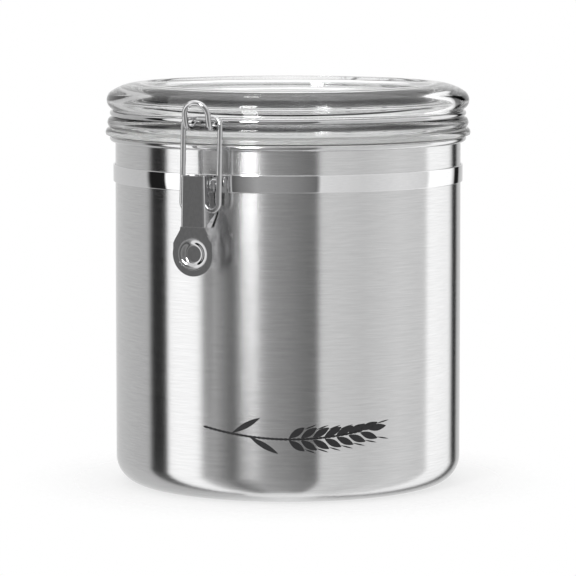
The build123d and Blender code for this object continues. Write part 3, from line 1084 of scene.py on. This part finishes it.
# %% The light of the cards
card = new_finish("studio_cards")
card_place = card.node("ShaderNodeTexCoord", out="Object")
card_x, card_y = [card.node("ShaderNodeSeparateXYZ", out=axis, Vector=card_place) for axis in "XY"]
in_front = card_x * math.sin(camera_turn) - card_y * math.cos(camera_turn)
to_right = card_x * math.cos(camera_turn) + card_y * math.sin(camera_turn)
around = to_right.math("ARCTAN2", in_front) * (1 / TURN) + 0.5
stops = [((degrees + 180) / 360, level) for degrees, level in CARDS]
card_tone = card.node("ShaderNodeValToRGB", {"stops": stops}, Fac=around)
card_light = card.node("ShaderNodeEmission", Color=card_tone, Strength=CARD_LIGHT)
ring_of_cards.data.materials.append(card.close(card_light))
print("stops:", len(stops))

# %% [markdown]
# Two panels hang in front of the ring. A narrow soft box hangs higher than the strap, to the left
# of the camera: the brushed body spreads its reflection up and down, which makes the bright stripe
# below the strap. A dark card further left deepens one edge.

# %% The hanging panels
def hanging_card(name, azimuth, low, high, distance, width, level):
    """An upright panel with its own light, at an azimuth in degrees from the camera."""
    angle = camera_turn + math.radians(azimuth)
    spot = (distance * math.sin(angle), -distance * math.cos(angle), (low + high) / 2)
    deselect_all()
    bpy.ops.mesh.primitive_plane_add(size=1.0, location=spot, rotation=(math.pi / 2, 0, angle))
    panel = bpy.context.active_object
    panel.name = name
    panel.scale = (width, high - low, 1)
    bpy.ops.object.transform_apply(location=True, rotation=True, scale=True)
    panel.visible_camera = False
    glow = new_finish(name + "_light")
    shine = glow.node("ShaderNodeEmission", Color=WHITE, Strength=level)
    panel.data.materials.append(glow.close(shine))
    print("panel:", panel.name)


hanging_card("strip_soft_box", -25.2, low=0.56, high=2.1, distance=3.0, width=0.56, level=17.0)
hanging_card("dark_card", -53.9, low=-0.4, high=0.2, distance=2.8, width=0.36, level=0.2)

# %% [markdown]
# The canister stands on a plain pale table top. Close to the tub it takes the soft shadow, and
# further out it fades into the white of the room, so that no horizon shows. The camera, mirrors
# and clear plastic see it brightened to white. Mirrors look nearly through it, so that the cards
# reach down to the foot of the tub.

# %% The floor
FLOOR_RADIUS = 0.45
FLOOR_DROP = 0.2 * MM
FLOOR_GLOW = 0.68
FADE_START, FADE_END = 0.08, 0.15
MIRROR_CLEAR = 0.92
deselect_all()
bpy.ops.mesh.primitive_circle_add(
    vertices=128, radius=FLOOR_RADIUS, fill_type="NGON", location=(0, 0, -FLOOR_DROP)
)
floor = bpy.context.active_object
floor.name = "floor"
ground = new_finish("pale_floor")
place = ground.node("ShaderNodeTexCoord", out="Object")
distance = ground.node("ShaderNodeVectorMath", {"operation": "LENGTH"}, out="Value", i0=place)
fade = ground.node(
    "ShaderNodeMapRange",
    {"interpolation_type": "SMOOTHSTEP"},
    Value=distance,
    From_Min=FADE_START,
    From_Max=FADE_END,
)
grain = ground.node("ShaderNodeTexNoise", Vector=place, Scale=60.0, Detail=3.0)
paint = ground.tones(grain, (0.80, 0.80, 0.80), (0.84, 0.84, 0.84))
matte = ground.node("ShaderNodeBsdfDiffuse", Color=paint)
glow = ground.node("ShaderNodeEmission", Color=WHITE, Strength=1.0)
by_camera = ground.node("ShaderNodeLightPath", out="Is Camera Ray")
by_mirror = ground.node("ShaderNodeLightPath", out="Is Glossy Ray")
by_glass = ground.node("ShaderNodeLightPath", out="Is Transmission Ray")
seen = by_camera.math("MAXIMUM", by_mirror).math("MAXIMUM", by_glass)
painted = ground.node("ShaderNodeMixShader", i0=seen * FLOOR_GLOW, i1=matte, i2=glow)
clear = ground.node("ShaderNodeBsdfTransparent")
clearness = fade.math("MAXIMUM", by_mirror * MIRROR_CLEAR)
surface = ground.node("ShaderNodeMixShader", i0=clearness, i1=painted, i2=clear)
floor.data.materials.append(ground.close(surface))
print("floor:", floor.name)

# %% [markdown]
# The white room lights everything evenly. One weak, wide soft box above and behind the canister
# adds the small difference that gives the print, the silicone and the edges their shape.

# %% The lamp
LAMP_POWER = 3.0
LAMP_SIZE = 1.2
lamp_distance, lamp_height, aim_height = 0.5, 1.5, 0.12
behind = camera_turn + math.pi
lamp_spot = Vector(
    (lamp_distance * math.sin(behind), -lamp_distance * math.cos(behind), lamp_height)
)
aim = Vector((0, 0, aim_height)) - lamp_spot
bpy.ops.object.light_add(
    type="AREA", location=lamp_spot, rotation=aim.to_track_quat("-Z", "Y").to_euler()
)
lamp = bpy.context.active_object
lamp.name = "overhead_soft_box"
lamp.data.size = LAMP_SIZE
lamp.data.energy = LAMP_POWER
print("lamp:", lamp.name, lamp.data.energy, "W")

# %% [markdown]
# The camera stands two metres away, a little above the lid and to the right of the clamp. Its long
# lens keeps the rings of the lid flat, as a near camera would not.

# %% The camera
CAMERA_DISTANCE = 1.9355
CAMERA_HEIGHT = 0.3009
CAMERA_DROP = 5.907  # degrees below level
CAMERA_LENS = 232.3
SENSOR_WIDTH = 36
camera_x = CAMERA_DISTANCE * math.sin(camera_turn)
camera_y = -CAMERA_DISTANCE * math.cos(camera_turn)
bpy.ops.object.camera_add(
    location=(camera_x, camera_y, CAMERA_HEIGHT),
    rotation=(math.radians(90 - CAMERA_DROP), 0, camera_turn),
)
camera = bpy.context.active_object
camera.data.sensor_width = SENSOR_WIDTH
camera.data.lens = CAMERA_LENS
scene.camera = camera
scene.view_settings.view_transform = "Standard"
deselect_all()
print("lens in millimetres:", CAMERA_LENS)
